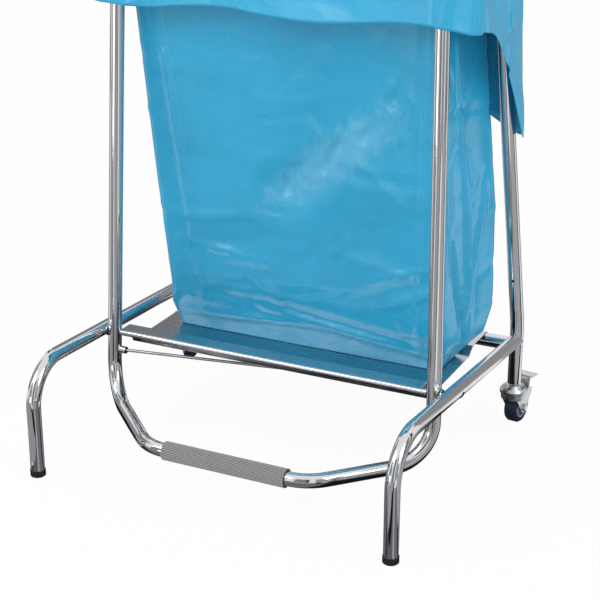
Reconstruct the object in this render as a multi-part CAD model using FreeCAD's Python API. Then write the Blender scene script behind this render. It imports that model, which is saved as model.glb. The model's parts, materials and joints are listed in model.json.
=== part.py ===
"""Pedal bin bag holder: a bent-tube stand with a sheet tray, two castors and a film bag.

The front hoop and the pedal tube are one rocking frame on a cross axle. Pressing the ribbed
pedal swings the front hoop forward and opens the mouth of the bag, which is folded over the
front and rear hoops. Axes: +X to the user's right, +Y to the back, +Z up, floor at Z = 0. Pieces
are drawn about the axle, at Y = 0, and then moved together so that the origin is at the middle
of the floor area that the whole stand covers. All sizes are in millimetres.
"""
import FreeCAD
import Part
import math
import os

V = FreeCAD.Vector
X_AXIS = V(1, 0, 0)
Y_AXIS = V(0, 1, 0)
Z_AXIS = V(0, 0, 1)

# Tube stock
TUBE_OD = 25.0
TUBE_WALL = 1.5
BEND_R = 75.0
SPIGOT_LENGTH = 36.0
SPIGOT_WALL = 1.6
SPIGOT_CLEARANCE = 0.1

# Rocking frame: axle, uprights and pedal
AXLE_HEIGHT = 190.0
AXLE_OD = 8.0
UPRIGHT_HALF_SPAN = 310.0
UPRIGHT_SPLAY = 0.030
UPRIGHT_LEAN = 0.047
HOOP_TOP = 900.0
HOOP_CORNER_R = 60.0
FRONT_JOINT_RISE = 40.0
PEDAL_KNEE_DROP = 120.0
PEDAL_REACH = 158.0
PEDAL_DROP = 127.0
PEDAL_HALF_WIDTH = 152.0
PEDAL_BEND_R = 88.0

# Ribbed grip on the pedal
GRIP_LENGTH = 232.0
GRIP_OD = 33.0
GRIP_RIBS = 36
GRIP_RIB_DEPTH = 1.0
GRIP_END_BAND = 3.0

# Side rails with their front feet
RAIL_GAP = 2.5
RAIL_FLARE = 0.0225
RAIL_FALL = 0.0626
FOOT_FORWARD = 229.0
CAP_OD = 27.2
CAP_HEIGHT = 12.0
CAP_BASE = 2.5

# Rear legs, posts and cross tube
REAR_BACK = 328.0
LEG_BOTTOM = 84.0
LEG_KNEE = 200.0
POST_LEAN = 0.182
POST_SPLAY = 0.037
POST_BEND_R = 150.0
REAR_JOINT = 261.0
CROSS_TUBE_HEIGHT = 159.0

# Bent sheet tray
SHEET = 1.2
TRAY_GAP_LEFT = 13.0
TRAY_GAP_RIGHT = 24.0
TRAY_FLOOR = 160.0
TRAY_SHELF_DEPTH = 31.0
TRAY_RISER_RUN = 7.0
TRAY_FLOOR_END = 238.0
TRAY_REAR_RUN = 20.0
TRAY_BEND_R = 3.0
ROLL_CLEARANCE = 0.2
HOOK_CLEARANCE = 0.3

# Small parts on the axle, rails and hoops
RUNNING_CLEARANCE = 0.06
SIDE_CLEARANCE = 0.3
WASHER_OD = 20.0
COLLAR_OD = 12.0
STOP_BACK = 30.0
STOP_WIDTH = 4.0
STOP_STAND_OFF = 1.2
SCREW_OD = 5.0
SCREW_HEAD = 1.0
SCREW_RISE = 34.0

# Return spring rod under the tray
ROD_OD = 5.5
ROD_DROP = 33.0
ROD_END_X = 200.0
ROD_END_Y = 106.0
ROD_END_Z = 146.7
ROD_TIP_GAP = 6.5
EYE_OD = 13.0
EYE_LENGTH = 12.0
EYE_BORE = 10.0
EYE_DEPTH = 10.0
ANCHOR_WIDTH = 22.0
ANCHOR_DEPTH = 12.0
ANCHOR_WALL = 3.0

# Castors
WHEEL_R = 30.0
WHEEL_WIDTH = 24.0
RIM_R = 20.0
HUB_R = 9.0
TRAIL = 16.0
CASTOR_AXLE_OD = 8.0
STEM_R = 5.0
RACE_R = 25.5
RACE_BASE = 65.0
FORK_TOP = 64.4
FORK_PLATE = 2.4
FORK_CLEARANCE = 1.6
CHEEK = 2.0
BRAKE_PIVOT_Y = 40.0
BRAKE_PIVOT_Z = 56.0
BRAKE_PIN_OD = 4.0
BRAKE_EYE_R = 4.5
BRAKE_WIDTH = 44.0
BRAKE_PLATE = 2.4
BRAKE_RISE = 28.0
BRAKE_ARM = 2.4
STEM_PLUG = 26.0
STEM_COLLAR_R = 8.5
RIVET_R = 8.0
RIVET_HEAD = 2.0
RACE_HEIGHT = 13.6
RACE_LIP = 6.0
BOLT_HEAD = 4.5
BOLT_FLATS = 12.0
SKIRT_DEPTH = 8.0
SKIRT_REACH = 30.0
FORK_BACK = 34.0
HUB_WEB = 4.0
RIM_WALL = 3.0
TYRE_BEVEL = 4.0
TYRE_SHOULDER = 3.0
CASTOR_TURN = {"left": 38.0, "right": -7.0}

# Film bag
FILM = 0.8
BAG_CORNER_R = 34.0
BAG_FLOOR_GAP = 0.3
BAG_FLARE_RISE = 40.0
BAG_WAIST_HEIGHT = 450.0
BAG_BASE = (238.0, 240.0, 152.0, 232.0)
BAG_FLARE = (262.0, 290.0, 140.0, 268.0)
BAG_WAIST = (277.0, 318.0, 108.0)
BAG_MOUTH = (286.0, 300.0)
CUFF_DROP = 110.0
CUFF_CLEARANCE = 1.5
HOOP_CLEARANCE = 1.8

TUBE_R = TUBE_OD / 2
RAIL_HALF_SPAN = UPRIGHT_HALF_SPAN + TUBE_OD + RAIL_GAP
TRAY_LEFT = UPRIGHT_HALF_SPAN - TRAY_GAP_LEFT
TRAY_RIGHT = UPRIGHT_HALF_SPAN - TRAY_GAP_RIGHT
BORE_R = TUBE_R - TUBE_WALL
SPIGOT_R = BORE_R - SPIGOT_CLEARANCE
AXLE_R = AXLE_OD / 2


def upright_point(side, z):
    """Centre of a front upright at height z; side is -1 for left and 1 for right."""
    rise = z - AXLE_HEIGHT
    return V(side * (UPRIGHT_HALF_SPAN - UPRIGHT_SPLAY * rise), UPRIGHT_LEAN * rise, z)


def rail_point(side, y):
    """Centre of a side rail at depth y."""
    return V(side * (RAIL_HALF_SPAN + RAIL_FLARE * y), y, AXLE_HEIGHT - RAIL_FALL * y)


def post_point(side, z):
    """Centre of a rear post at height z, above the knee of the leg."""
    rise = z - LEG_KNEE
    knee = rail_point(side, REAR_BACK)
    return V(knee.x - side * POST_SPLAY * rise, REAR_BACK - POST_LEAN * rise, z)


def leg_point(side, z):
    """Centre of a rear leg at height z, below the knee."""
    knee = rail_point(side, REAR_BACK)
    return V(knee.x, REAR_BACK, z)


def bent_path(points, radii):
    """Straight runs joined by tangent arcs; one radius for each inner point."""
    edges = []
    start = points[0]
    for before, corner, after, radius in zip(points, points[1:], points[2:], radii):
        arrive = (corner - before).normalize()
        leave = (after - corner).normalize()
        turn = arrive.getAngle(leave)
        reach = radius * math.tan(turn / 2)
        arc_start = corner - arrive * reach
        arc_end = corner + leave * reach
        inward = (leave - arrive).normalize()
        middle = corner + inward * (radius / math.cos(turn / 2) - radius)
        edges.append(Part.LineSegment(start, arc_start).toShape())
        edges.append(Part.Arc(arc_start, middle, arc_end).toShape())
        start = arc_end
    edges.append(Part.LineSegment(start, points[-1]).toShape())
    return Part.Wire(edges)


def disc(centre, direction, outer_r, inner_r):
    """A round section, or a ring where it has a bore."""
    face = Part.Face(Part.Wire([Part.makeCircle(outer_r, centre, direction)]))
    if inner_r > 0:
        face = face.cut(Part.Face(Part.Wire([Part.makeCircle(inner_r, centre, direction)])))
    return face


def bar(points, radii, outer_r, inner_r=0):
    """A round bar or tube of straight runs and true round bends."""
    pieces = []
    start = points[0]
    for before, corner, after, radius in zip(points, points[1:], points[2:], radii):
        arrive = (corner - before).normalize()
        leave = (after - corner).normalize()
        turn = arrive.getAngle(leave)
        reach = radius * math.tan(turn / 2)
        bend_start = corner - arrive * reach
        bend_axis = arrive.cross(leave).normalize()
        centre = bend_start + bend_axis.cross(arrive) * radius
        pieces.append(disc(start, arrive, outer_r, inner_r).extrude(bend_start - start))
        section = disc(bend_start, arrive, outer_r, inner_r)
        pieces.append(section.revolve(centre, bend_axis, math.degrees(turn)))
        start = corner + leave * reach
    run = points[-1] - start
    pieces.append(disc(start, run, outer_r, inner_r).extrude(run))
    return pieces[0].multiFuse(pieces[1:]).removeSplitter() if len(pieces) > 1 else pieces[0]


def tube(points, radii):
    """A hollow tube of the frame's stock, open at both ends."""
    return bar(points, radii, TUBE_R, BORE_R)


def spigot(base, direction):
    """The reduced end of a lower tube, which an upper tube is pushed over."""
    outer = Part.makeCylinder(SPIGOT_R, SPIGOT_LENGTH, base, direction)
    inner = Part.makeCylinder(SPIGOT_R - SPIGOT_WALL, SPIGOT_LENGTH, base, direction)
    return outer.cut(inner)


def shoulder(base, direction):
    """The short step between a tube's bore and its spigot."""
    outer = Part.makeCylinder(BORE_R + TUBE_WALL / 2, TUBE_WALL, base - direction * TUBE_WALL, direction)
    inner = Part.makeCylinder(SPIGOT_R - SPIGOT_WALL, TUBE_WALL, base - direction * TUBE_WALL, direction)
    return outer.cut(inner)


def rod_between(start, end, radius):
    """A straight round bar between two points."""
    run = end - start
    return Part.makeCylinder(radius, run.Length, start, run)


def extrude_yz(points, x_low, x_high):
    """A plate from a closed outline of (y, z) points, between two x values."""
    corners = [V(x_low, y, z) for y, z in points]
    face = Part.Face(Part.makePolygon(corners + [corners[0]]))
    return face.extrude(V(x_high - x_low, 0, 0))


def turned(points, centre, axis):
    """A turned piece from (radius, height) points, about an axis through a centre."""
    corners = [V(r, 0, h) for r, h in points]
    face = Part.Face(Part.makePolygon(corners + [corners[0]]))
    solid = face.revolve(V(0, 0, 0), Z_AXIS, 360)
    solid.Placement = FreeCAD.Placement(centre, FreeCAD.Rotation(Z_AXIS, axis))
    return solid


def side_rail(side):
    """Rail and front foot: one bent tube, saddle-cut where it meets the rear leg."""
    foot = rail_point(side, -FOOT_FORWARD)
    points = [V(foot.x, foot.y, CAP_BASE), foot, rail_point(side, REAR_BACK)]
    rail = tube(points, [BEND_R])
    leg_space = Part.makeCylinder(TUBE_R, LEG_KNEE, leg_point(side, 0), Z_AXIS)
    axle_end = V(side * RAIL_HALF_SPAN, 0, AXLE_HEIGHT)
    axle_hole = Part.makeCylinder(AXLE_R, TUBE_OD, axle_end, X_AXIS * -side)
    return rail.cut(leg_space).cut(axle_hole)


def foot_cap(side):
    """Black plastic cap over the foot's end."""
    foot = rail_point(side, -FOOT_FORWARD)
    cap_r = CAP_OD / 2
    lip = 1.2
    profile = [(0, 0), (cap_r - lip, 0), (cap_r, lip), (cap_r, CAP_HEIGHT), (TUBE_R, CAP_HEIGHT),
               (TUBE_R, CAP_BASE), (0, CAP_BASE)]
    return turned(profile, V(foot.x, foot.y, 0), Z_AXIS)


def rear_leg(side):
    """Upright leg that bends forward at the knee, with a spigot for the rear hoop."""
    top = post_point(side, REAR_JOINT)
    knee = post_point(side, LEG_KNEE)
    direction = (top - knee).normalize()
    leg = tube([leg_point(side, LEG_BOTTOM), knee, top], [POST_BEND_R])
    return leg.fuse([shoulder(top, direction), spigot(top, direction)]).removeSplitter()


def rear_cross_tube():
    """Tube between the rear legs that carries the back of the tray."""
    left = leg_point(-1, CROSS_TUBE_HEIGHT)
    right = leg_point(1, CROSS_TUBE_HEIGHT)
    solid = rod_between(left, right, TUBE_R).cut(rod_between(left, right, BORE_R))
    for side in (-1, 1):
        leg_space = Part.makeCylinder(TUBE_R, LEG_KNEE, leg_point(side, 0), Z_AXIS)
        rail_space = rod_between(rail_point(side, 0), rail_point(side, REAR_BACK + TUBE_OD), TUBE_R)
        solid = solid.cut(leg_space).cut(rail_space)
    return max(solid.Solids, key=lambda piece: piece.Volume)


def hoop(point_at, joint_height):
    """Two posts and their cross bar, bent from one tube."""
    points = [point_at(-1, joint_height), point_at(-1, HOOP_TOP), point_at(1, HOOP_TOP),
              point_at(1, joint_height)]
    return tube(points, [HOOP_CORNER_R, HOOP_CORNER_R])


def pedal_corners():
    """Turning points of the pedal tube, from the left joint to the right joint."""
    joint = AXLE_HEIGHT + FRONT_JOINT_RISE
    knee = AXLE_HEIGHT - PEDAL_KNEE_DROP
    front_z = AXLE_HEIGHT - PEDAL_DROP
    return [upright_point(-1, joint), upright_point(-1, knee),
            V(-PEDAL_HALF_WIDTH, -PEDAL_REACH, front_z), V(PEDAL_HALF_WIDTH, -PEDAL_REACH, front_z),
            upright_point(1, knee), upright_point(1, joint)]


def pedal_tube():
    """Lower part of the rocking frame, bored for the axle, with a spigot at each end."""
    points = pedal_corners()
    radii = [BEND_R, PEDAL_BEND_R, PEDAL_BEND_R, BEND_R]
    solid = tube(points, radii)
    bore = Part.makeCylinder(AXLE_R + RUNNING_CLEARANCE, 2 * RAIL_HALF_SPAN,
                             V(-RAIL_HALF_SPAN, 0, AXLE_HEIGHT), X_AXIS)
    solid = solid.cut(bore)
    for top, below in ((points[0], points[1]), (points[-1], points[-2])):
        direction = (top - below).normalize()
        solid = solid.fuse([shoulder(top, direction), spigot(top, direction)])
    return solid.removeSplitter()


def pedal_grip():
    """Sleeve with lengthwise ribs and a plain band at each end."""
    front_z = AXLE_HEIGHT - PEDAL_DROP
    outer = GRIP_OD / 2
    groove = outer - GRIP_RIB_DEPTH
    step = 2 * math.pi / GRIP_RIBS
    corners = []
    for rib in range(GRIP_RIBS):
        for share, radius in ((0.0, groove), (0.2, outer), (0.7, outer), (0.9, groove)):
            angle = (rib + share) * step
            corners.append(V(0, radius * math.cos(angle), radius * math.sin(angle)))
    start = V(-GRIP_LENGTH / 2, -PEDAL_REACH, front_z)
    ribs = Part.Face(Part.makePolygon(corners + [corners[0]])).extrude(V(GRIP_LENGTH, 0, 0))
    ribs.translate(start)
    sleeve = ribs
    for base in (start, start + V(GRIP_LENGTH - GRIP_END_BAND, 0, 0)):
        sleeve = sleeve.fuse(Part.makeCylinder(groove, GRIP_END_BAND, base, X_AXIS))
    return sleeve.cut(Part.makeCylinder(TUBE_R, GRIP_LENGTH, start, X_AXIS))


def pivot_axle():
    """Cross axle from rail to rail, through both uprights and the tray's roll."""
    return rod_between(V(-RAIL_HALF_SPAN, 0, AXLE_HEIGHT), V(RAIL_HALF_SPAN, 0, AXLE_HEIGHT), AXLE_R)


def ring(x_low, x_high, outer_r, inner_r):
    """A plain ring on the axle."""
    start = V(x_low, 0, AXLE_HEIGHT)
    length = x_high - x_low
    outer = Part.makeCylinder(outer_r, length, start, X_AXIS)
    return outer.cut(Part.makeCylinder(inner_r, length, start, X_AXIS))


def pivot_washer(side):
    """Washer between an upright and its rail."""
    low = UPRIGHT_HALF_SPAN + TUBE_R + SIDE_CLEARANCE
    high = RAIL_HALF_SPAN - TUBE_R - SIDE_CLEARANCE
    ends = sorted((side * low, side * high))
    return ring(ends[0], ends[1], WASHER_OD / 2, AXLE_R)


def axle_collar():
    """Collar that fills the axle between the tray's roll and the right upright."""
    low = TRAY_RIGHT
    high = UPRIGHT_HALF_SPAN - TUBE_R - SIDE_CLEARANCE
    return ring(low, high, COLLAR_OD / 2, AXLE_R)


def rail_stop(side):
    """Thin black rubber strip let round the underside of a rail."""
    centre = rail_point(side, STOP_BACK)
    along = (rail_point(side, REAR_BACK) - rail_point(side, 0)).normalize()
    base = centre - along * (STOP_WIDTH / 2)
    band = Part.makeCylinder(TUBE_R + STOP_STAND_OFF, STOP_WIDTH, base, along)
    band = band.cut(Part.makeCylinder(TUBE_R, STOP_WIDTH, base, along))
    reach = TUBE_OD
    below = Part.makeBox(2 * reach, 2 * reach, reach, V(centre.x - reach, centre.y - reach, centre.z - reach))
    return band.common(below)


def hoop_screw(side, point_at, joint_height, facing):
    """Round-headed screw that locks a hoop on its spigot."""
    centre = point_at(side, joint_height + SCREW_RISE)
    below = point_at(side, joint_height)
    along = (centre - below).normalize()
    outward = (Y_AXIS * facing - along * along.dot(Y_AXIS * facing)).normalize()
    head = Part.makeCylinder(SCREW_OD / 2, TUBE_R + SCREW_HEAD, centre, outward)
    return head.cut(Part.makeCylinder(TUBE_R, 2 * TUBE_OD, centre - along * TUBE_OD, along))


def tray_profile():
    """Underside of the bent sheet in the YZ plane, from the front roll to the rear hook."""
    roll_r = AXLE_R + ROLL_CLEARANCE
    hook_r = TUBE_R + HOOK_CLEARANCE
    underside = TRAY_FLOOR - SHEET
    shelf = AXLE_HEIGHT + roll_r
    rear_strip = CROSS_TUBE_HEIGHT + hook_r

    def on_circle(y, z, radius, degrees):
        angle = math.radians(degrees)
        return V(0, y + radius * math.cos(angle), z + radius * math.sin(angle))

    roll = Part.Arc(on_circle(0, AXLE_HEIGHT, roll_r, 300), on_circle(0, AXLE_HEIGHT, roll_r, 195),
                    on_circle(0, AXLE_HEIGHT, roll_r, 90)).toShape()
    corners = [V(0, 0, shelf), V(0, TRAY_SHELF_DEPTH, shelf),
               V(0, TRAY_SHELF_DEPTH + TRAY_RISER_RUN, underside), V(0, TRAY_FLOOR_END, underside),
               V(0, TRAY_FLOOR_END + TRAY_REAR_RUN, rear_strip), V(0, REAR_BACK, rear_strip)]
    flats = bent_path(corners, [TRAY_BEND_R] * 4)
    hook = Part.Arc(on_circle(REAR_BACK, CROSS_TUBE_HEIGHT, hook_r, 90),
                    on_circle(REAR_BACK, CROSS_TUBE_HEIGHT, hook_r, 45),
                    on_circle(REAR_BACK, CROSS_TUBE_HEIGHT, hook_r, -10)).toShape()
    return Part.Wire([roll] + flats.Edges + [hook])


def tray():
    """Tray bent from one sheet: rolled on the axle in front, hooked on the cross tube behind."""
    underside = tray_profile()
    width = TRAY_LEFT + TRAY_RIGHT
    options = []
    for offset in (SHEET, -SHEET):
        section = underside.makeOffset2D(offset, 0, True, True)
        options.append(section)
    section = max(options, key=lambda face: face.BoundBox.ZMax)
    solid = section.extrude(V(width, 0, 0))
    solid.translate(V(-TRAY_LEFT, 0, 0))
    return solid


def rod_line():
    """Ends of the return spring rod: at the left upright and under the tray."""
    stub = upright_point(-1, AXLE_HEIGHT - ROD_DROP)
    tip = V(stub.x + TUBE_R + ROD_TIP_GAP, stub.y, stub.z)
    return tip, V(ROD_END_X, ROD_END_Y, ROD_END_Z)


def spring_rod():
    """Straight spring-steel rod."""
    tip, end = rod_line()
    return rod_between(tip, end, ROD_OD / 2)


def rod_eye():
    """Boss on the left upright that takes the rod's loose end."""
    stub = upright_point(-1, AXLE_HEIGHT - ROD_DROP)
    wall = stub.x + TUBE_R
    boss = Part.makeCylinder(EYE_OD / 2, EYE_LENGTH + TUBE_R / 2,
                             V(wall - TUBE_R / 2, stub.y, stub.z), X_AXIS)
    along = upright_point(-1, AXLE_HEIGHT) - stub
    boss = boss.cut(Part.makeCylinder(TUBE_R, 4 * EYE_OD, stub - along.normalize() * (2 * EYE_OD), along))
    mouth = wall + EYE_LENGTH
    bore = Part.makeCylinder(EYE_BORE / 2, EYE_DEPTH, V(mouth - EYE_DEPTH, stub.y, stub.z), X_AXIS)
    return boss.cut(bore)


def rod_anchor():
    """Folded clip under the tray floor, round the rod's fixed end."""
    underside = TRAY_FLOOR - SHEET
    low = ROD_END_Z - ROD_OD / 2 - ANCHOR_WALL
    block = Part.makeBox(ANCHOR_WIDTH, ANCHOR_DEPTH, underside - low,
                         V(ROD_END_X - ANCHOR_WIDTH / 2, ROD_END_Y - ANCHOR_DEPTH / 2, low))
    tip, end = rod_line()
    beyond = end + (end - tip).normalize() * SIDE_CLEARANCE
    slot_r = ROD_OD / 2 + SIDE_CLEARANCE
    return block.cut(rod_between(tip, beyond, slot_r))


def castor_axis_height():
    """Height of the wheel's axle."""
    return WHEEL_R


def castor_stem():
    """Plug in the leg, tapered collar, shaft and rivet head."""
    plug_r = BORE_R - SPIGOT_CLEARANCE
    plug_top = LEG_BOTTOM + STEM_PLUG
    race_top = RACE_BASE + RACE_HEIGHT
    rivet_top = FORK_TOP - FORK_PLATE
    profile = [(0, rivet_top - RIVET_HEAD), (RIVET_R, rivet_top - RIVET_HEAD), (RIVET_R, rivet_top),
               (STEM_R, rivet_top), (STEM_R, race_top), (STEM_COLLAR_R, race_top), (TUBE_R, LEG_BOTTOM),
               (plug_r, LEG_BOTTOM), (plug_r, plug_top), (0, plug_top)]
    return turned(profile, V(0, 0, 0), Z_AXIS)


def castor_race():
    """Pressed upper race over the ball ring."""
    base = RACE_BASE
    profile = [(STEM_R, base), (RACE_R, base), (RACE_R, base + RACE_LIP), (RACE_R - 4, base + 11),
               (RACE_R - 11, base + 8), (RACE_R - 16, base + RACE_HEIGHT), (STEM_R, base + RACE_HEIGHT)]
    return turned(profile, V(0, 0, 0), Z_AXIS)


def castor_fork():
    """Swivelling fork: crown, front skirt and two cheeks."""
    low = FORK_TOP - FORK_PLATE
    crown_r = RACE_R - 2.5
    inner = WHEEL_WIDTH / 2 + FORK_CLEARANCE
    outer = inner + CHEEK
    axle_z = castor_axis_height()
    crown = Part.makeCylinder(crown_r, FORK_PLATE, V(0, 0, low), Z_AXIS)
    bridge = Part.makeBox(2 * outer, FORK_BACK, FORK_PLATE, V(-outer, 0, low))
    skirt = Part.makeCylinder(crown_r, SKIRT_DEPTH, V(0, 0, low - SKIRT_DEPTH), Z_AXIS)
    skirt = skirt.cut(Part.makeCylinder(crown_r - CHEEK, SKIRT_DEPTH, V(0, 0, low - SKIRT_DEPTH), Z_AXIS))
    skirt = skirt.common(Part.makeBox(2 * SKIRT_REACH, SKIRT_REACH, 10, V(-SKIRT_REACH, -32, low - 9)))
    cheek = [(-15, low), (FORK_BACK, low), (47, 61), (47, 51), (TRAIL + 9, axle_z - 6),
             (TRAIL + 4, axle_z - 9), (TRAIL - 4, axle_z - 9), (TRAIL - 9, axle_z - 5), (-14, 52)]
    solid = crown.fuse([bridge, skirt, extrude_yz(cheek, -outer, -inner), extrude_yz(cheek, inner, outer)])
    hole = Part.makeCylinder(STEM_R + RUNNING_CLEARANCE, 3 * FORK_PLATE, V(0, 0, low - FORK_PLATE), Z_AXIS)
    axle_hole = Part.makeCylinder(CASTOR_AXLE_OD / 2, 4 * outer, V(-2 * outer, TRAIL, axle_z), X_AXIS)
    pin_hole = Part.makeCylinder(BRAKE_PIN_OD / 2, 4 * outer,
                                 V(-2 * outer, BRAKE_PIVOT_Y, BRAKE_PIVOT_Z), X_AXIS)
    return solid.cut(hole).cut(axle_hole).cut(pin_hole).removeSplitter()


def hexagon(across_flats, thickness, base):
    """A hexagon head or nut with its axis along X."""
    radius = across_flats / math.sqrt(3)
    corners = []
    for corner in range(7):
        angle = math.radians(60 * corner)
        corners.append(base + V(0, radius * math.cos(angle), radius * math.sin(angle)))
    return Part.Face(Part.makePolygon(corners)).extrude(V(thickness, 0, 0))


def castor_axle():
    """Wheel bolt with its head and nut."""
    outer = WHEEL_WIDTH / 2 + FORK_CLEARANCE + CHEEK
    axle_z = castor_axis_height()
    shank = Part.makeCylinder(CASTOR_AXLE_OD / 2, 2 * (outer + BOLT_HEAD),
                              V(-outer - BOLT_HEAD, TRAIL, axle_z), X_AXIS)
    bolt_head = hexagon(BOLT_FLATS, BOLT_HEAD, V(-outer - BOLT_HEAD, TRAIL, axle_z))
    nut = hexagon(BOLT_FLATS, BOLT_HEAD, V(outer, TRAIL, axle_z))
    return shank.fuse([bolt_head, nut]).removeSplitter()


def castor_core():
    """Grey wheel centre: hub, web and rim."""
    half = WHEEL_WIDTH / 2
    hub = half + FORK_CLEARANCE - SIDE_CLEARANCE
    bore = CASTOR_AXLE_OD / 2 + RUNNING_CLEARANCE
    profile = [(bore, -hub), (HUB_R, -hub), (HUB_R, -HUB_WEB), (RIM_R - RIM_WALL, -HUB_WEB),
               (RIM_R - RIM_WALL, -half),
               (RIM_R, -half), (RIM_R, half), (RIM_R - RIM_WALL, half),
               (RIM_R - RIM_WALL, HUB_WEB), (HUB_R, HUB_WEB), (HUB_R, hub), (bore, hub)]
    return turned(profile, V(0, TRAIL, castor_axis_height()), X_AXIS)


def castor_tyre():
    """Dark tyre with rounded shoulders."""
    half = WHEEL_WIDTH / 2
    profile = [(RIM_R, -half), (WHEEL_R - TYRE_SHOULDER, -half), (WHEEL_R, -half + TYRE_BEVEL),
               (WHEEL_R, half - TYRE_BEVEL), (WHEEL_R - TYRE_SHOULDER, half), (RIM_R, half)]
    return turned(profile, V(0, TRAIL, castor_axis_height()), X_AXIS)


def castor_brake():
    """Brake lever: eye on its pin, arm and tread plate."""
    y = BRAKE_PIVOT_Y
    z = BRAKE_PIVOT_Z
    eye_half = WHEEL_WIDTH / 2
    eye = Part.makeCylinder(BRAKE_EYE_R, 2 * eye_half, V(-eye_half, y, z), X_AXIS)
    tread_z = z + BRAKE_RISE
    arm = extrude_yz([(y - BRAKE_ARM / 2, z), (y + BRAKE_ARM / 2, z),
                      (y + 9.7, tread_z + 1.5), (y + 7.3, tread_z + 1.5)],
                     -eye_half, eye_half)
    tread = extrude_yz([(y - 8, tread_z + 1.5), (y - 8, tread_z + 1.5 + BRAKE_PLATE),
                        (y + 12, tread_z + BRAKE_PLATE), (y + 18, tread_z - 2 + BRAKE_PLATE),
                        (y + 18, tread_z - 2), (y + 12, tread_z)], -BRAKE_WIDTH / 2, BRAKE_WIDTH / 2)
    hole = Part.makeCylinder(BRAKE_PIN_OD / 2 + RUNNING_CLEARANCE, 3 * eye_half,
                             V(-1.5 * eye_half, y, z), X_AXIS)
    return eye.fuse([arm, tread]).cut(hole).removeSplitter()


def castor_brake_pin():
    """Pin of the brake lever, through both cheeks."""
    outer = WHEEL_WIDTH / 2 + FORK_CLEARANCE + CHEEK
    return Part.makeCylinder(BRAKE_PIN_OD / 2, 2 * outer, V(-outer, BRAKE_PIVOT_Y, BRAKE_PIVOT_Z), X_AXIS)


def rounded_section(z, front_half, rear_half, front_y, rear_y, radius):
    """A closed outline at height z: wider or narrower at the back, with round corners."""
    corners = [V(-front_half, front_y, z), V(front_half, front_y, z), V(rear_half, rear_y, z),
               V(-rear_half, rear_y, z)]
    count = len(corners)
    edges = []
    ends = []
    for index, corner in enumerate(corners):
        arrive = (corner - corners[index - 1]).normalize()
        leave = (corners[(index + 1) % count] - corner).normalize()
        turn = arrive.getAngle(leave)
        reach = radius * math.tan(turn / 2)
        inward = (leave - arrive).normalize()
        middle = corner + inward * (radius / math.cos(turn / 2) - radius)
        ends.append((corner - arrive * reach, middle, corner + leave * reach))
    for index, (start, middle, end) in enumerate(ends):
        edges.append(Part.Arc(start, middle, end).toShape())
        edges.append(Part.LineSegment(end, ends[(index + 1) % count][0]).toShape())
    return Part.Wire(edges)


def bag_levels():
    """Height, half-widths and depths of the bag's body, from its base to its mouth."""
    top = HOOP_TOP + TUBE_R + CUFF_CLEARANCE
    base = TRAY_FLOOR + BAG_FLOOR_GAP
    clear = TUBE_R + HOOP_CLEARANCE
    front_top = upright_point(1, HOOP_TOP).y + clear
    return [
        (base, *BAG_BASE),
        (base + BAG_FLARE_RISE, *BAG_FLARE),
        (BAG_WAIST_HEIGHT, *BAG_WAIST, post_point(1, BAG_WAIST_HEIGHT).y - clear),
        (HOOP_TOP, *BAG_MOUTH, front_top, post_point(1, HOOP_TOP).y - clear),
        (top, *BAG_MOUTH, front_top, post_point(1, HOOP_TOP).y - clear),
    ]


def cuff_levels():
    """The same for the cuff that is folded outward over both hoops."""
    clear = TUBE_R + CUFF_CLEARANCE
    levels = []
    for z in (HOOP_TOP - CUFF_DROP, HOOP_TOP, HOOP_TOP + clear):
        at = min(z, HOOP_TOP)
        front = upright_point(1, at)
        rear = post_point(1, at)
        half = rear.x + clear + FILM
        levels.append((z, half, half, front.y - clear - FILM, rear.y + clear + FILM))
    return levels


def loft(levels, corner_r, inset, lift_first, lift_last):
    """A straight-sided solid through outlines at several heights, drawn in by an inset."""
    wires = []
    last = len(levels) - 1
    for index, (z, front_half, rear_half, front_y, rear_y) in enumerate(levels):
        lift = lift_first if index == 0 else lift_last if index == last else 0
        wires.append(rounded_section(z + lift, front_half - inset, rear_half - inset,
                                     front_y + inset, rear_y - inset, corner_r - inset))
    return Part.makeLoft(wires, True, True)


def bag():
    """Open film bag: body, lip over the hoops and hanging cuff."""
    cuff_r = TUBE_R + CUFF_CLEARANCE + FILM
    body = loft(bag_levels(), BAG_CORNER_R, 0, 0, 0)
    hollow = loft(bag_levels(), BAG_CORNER_R, FILM, FILM, 2 * FILM)
    cuff = loft(cuff_levels(), cuff_r, 0, 0, FILM)
    cuff = cuff.cut(loft(cuff_levels(), cuff_r, FILM, -FILM, 0))
    return body.fuse(cuff).cut(hollow)


def on_leg(shape, side, turn):
    """Turn a castor piece about its stem and set it under a rear leg."""
    placed = shape.copy()
    placed.rotate(V(0, 0, 0), Z_AXIS, turn)
    leg = leg_point(side, 0)
    placed.translate(V(leg.x, leg.y, 0))
    return placed


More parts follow.
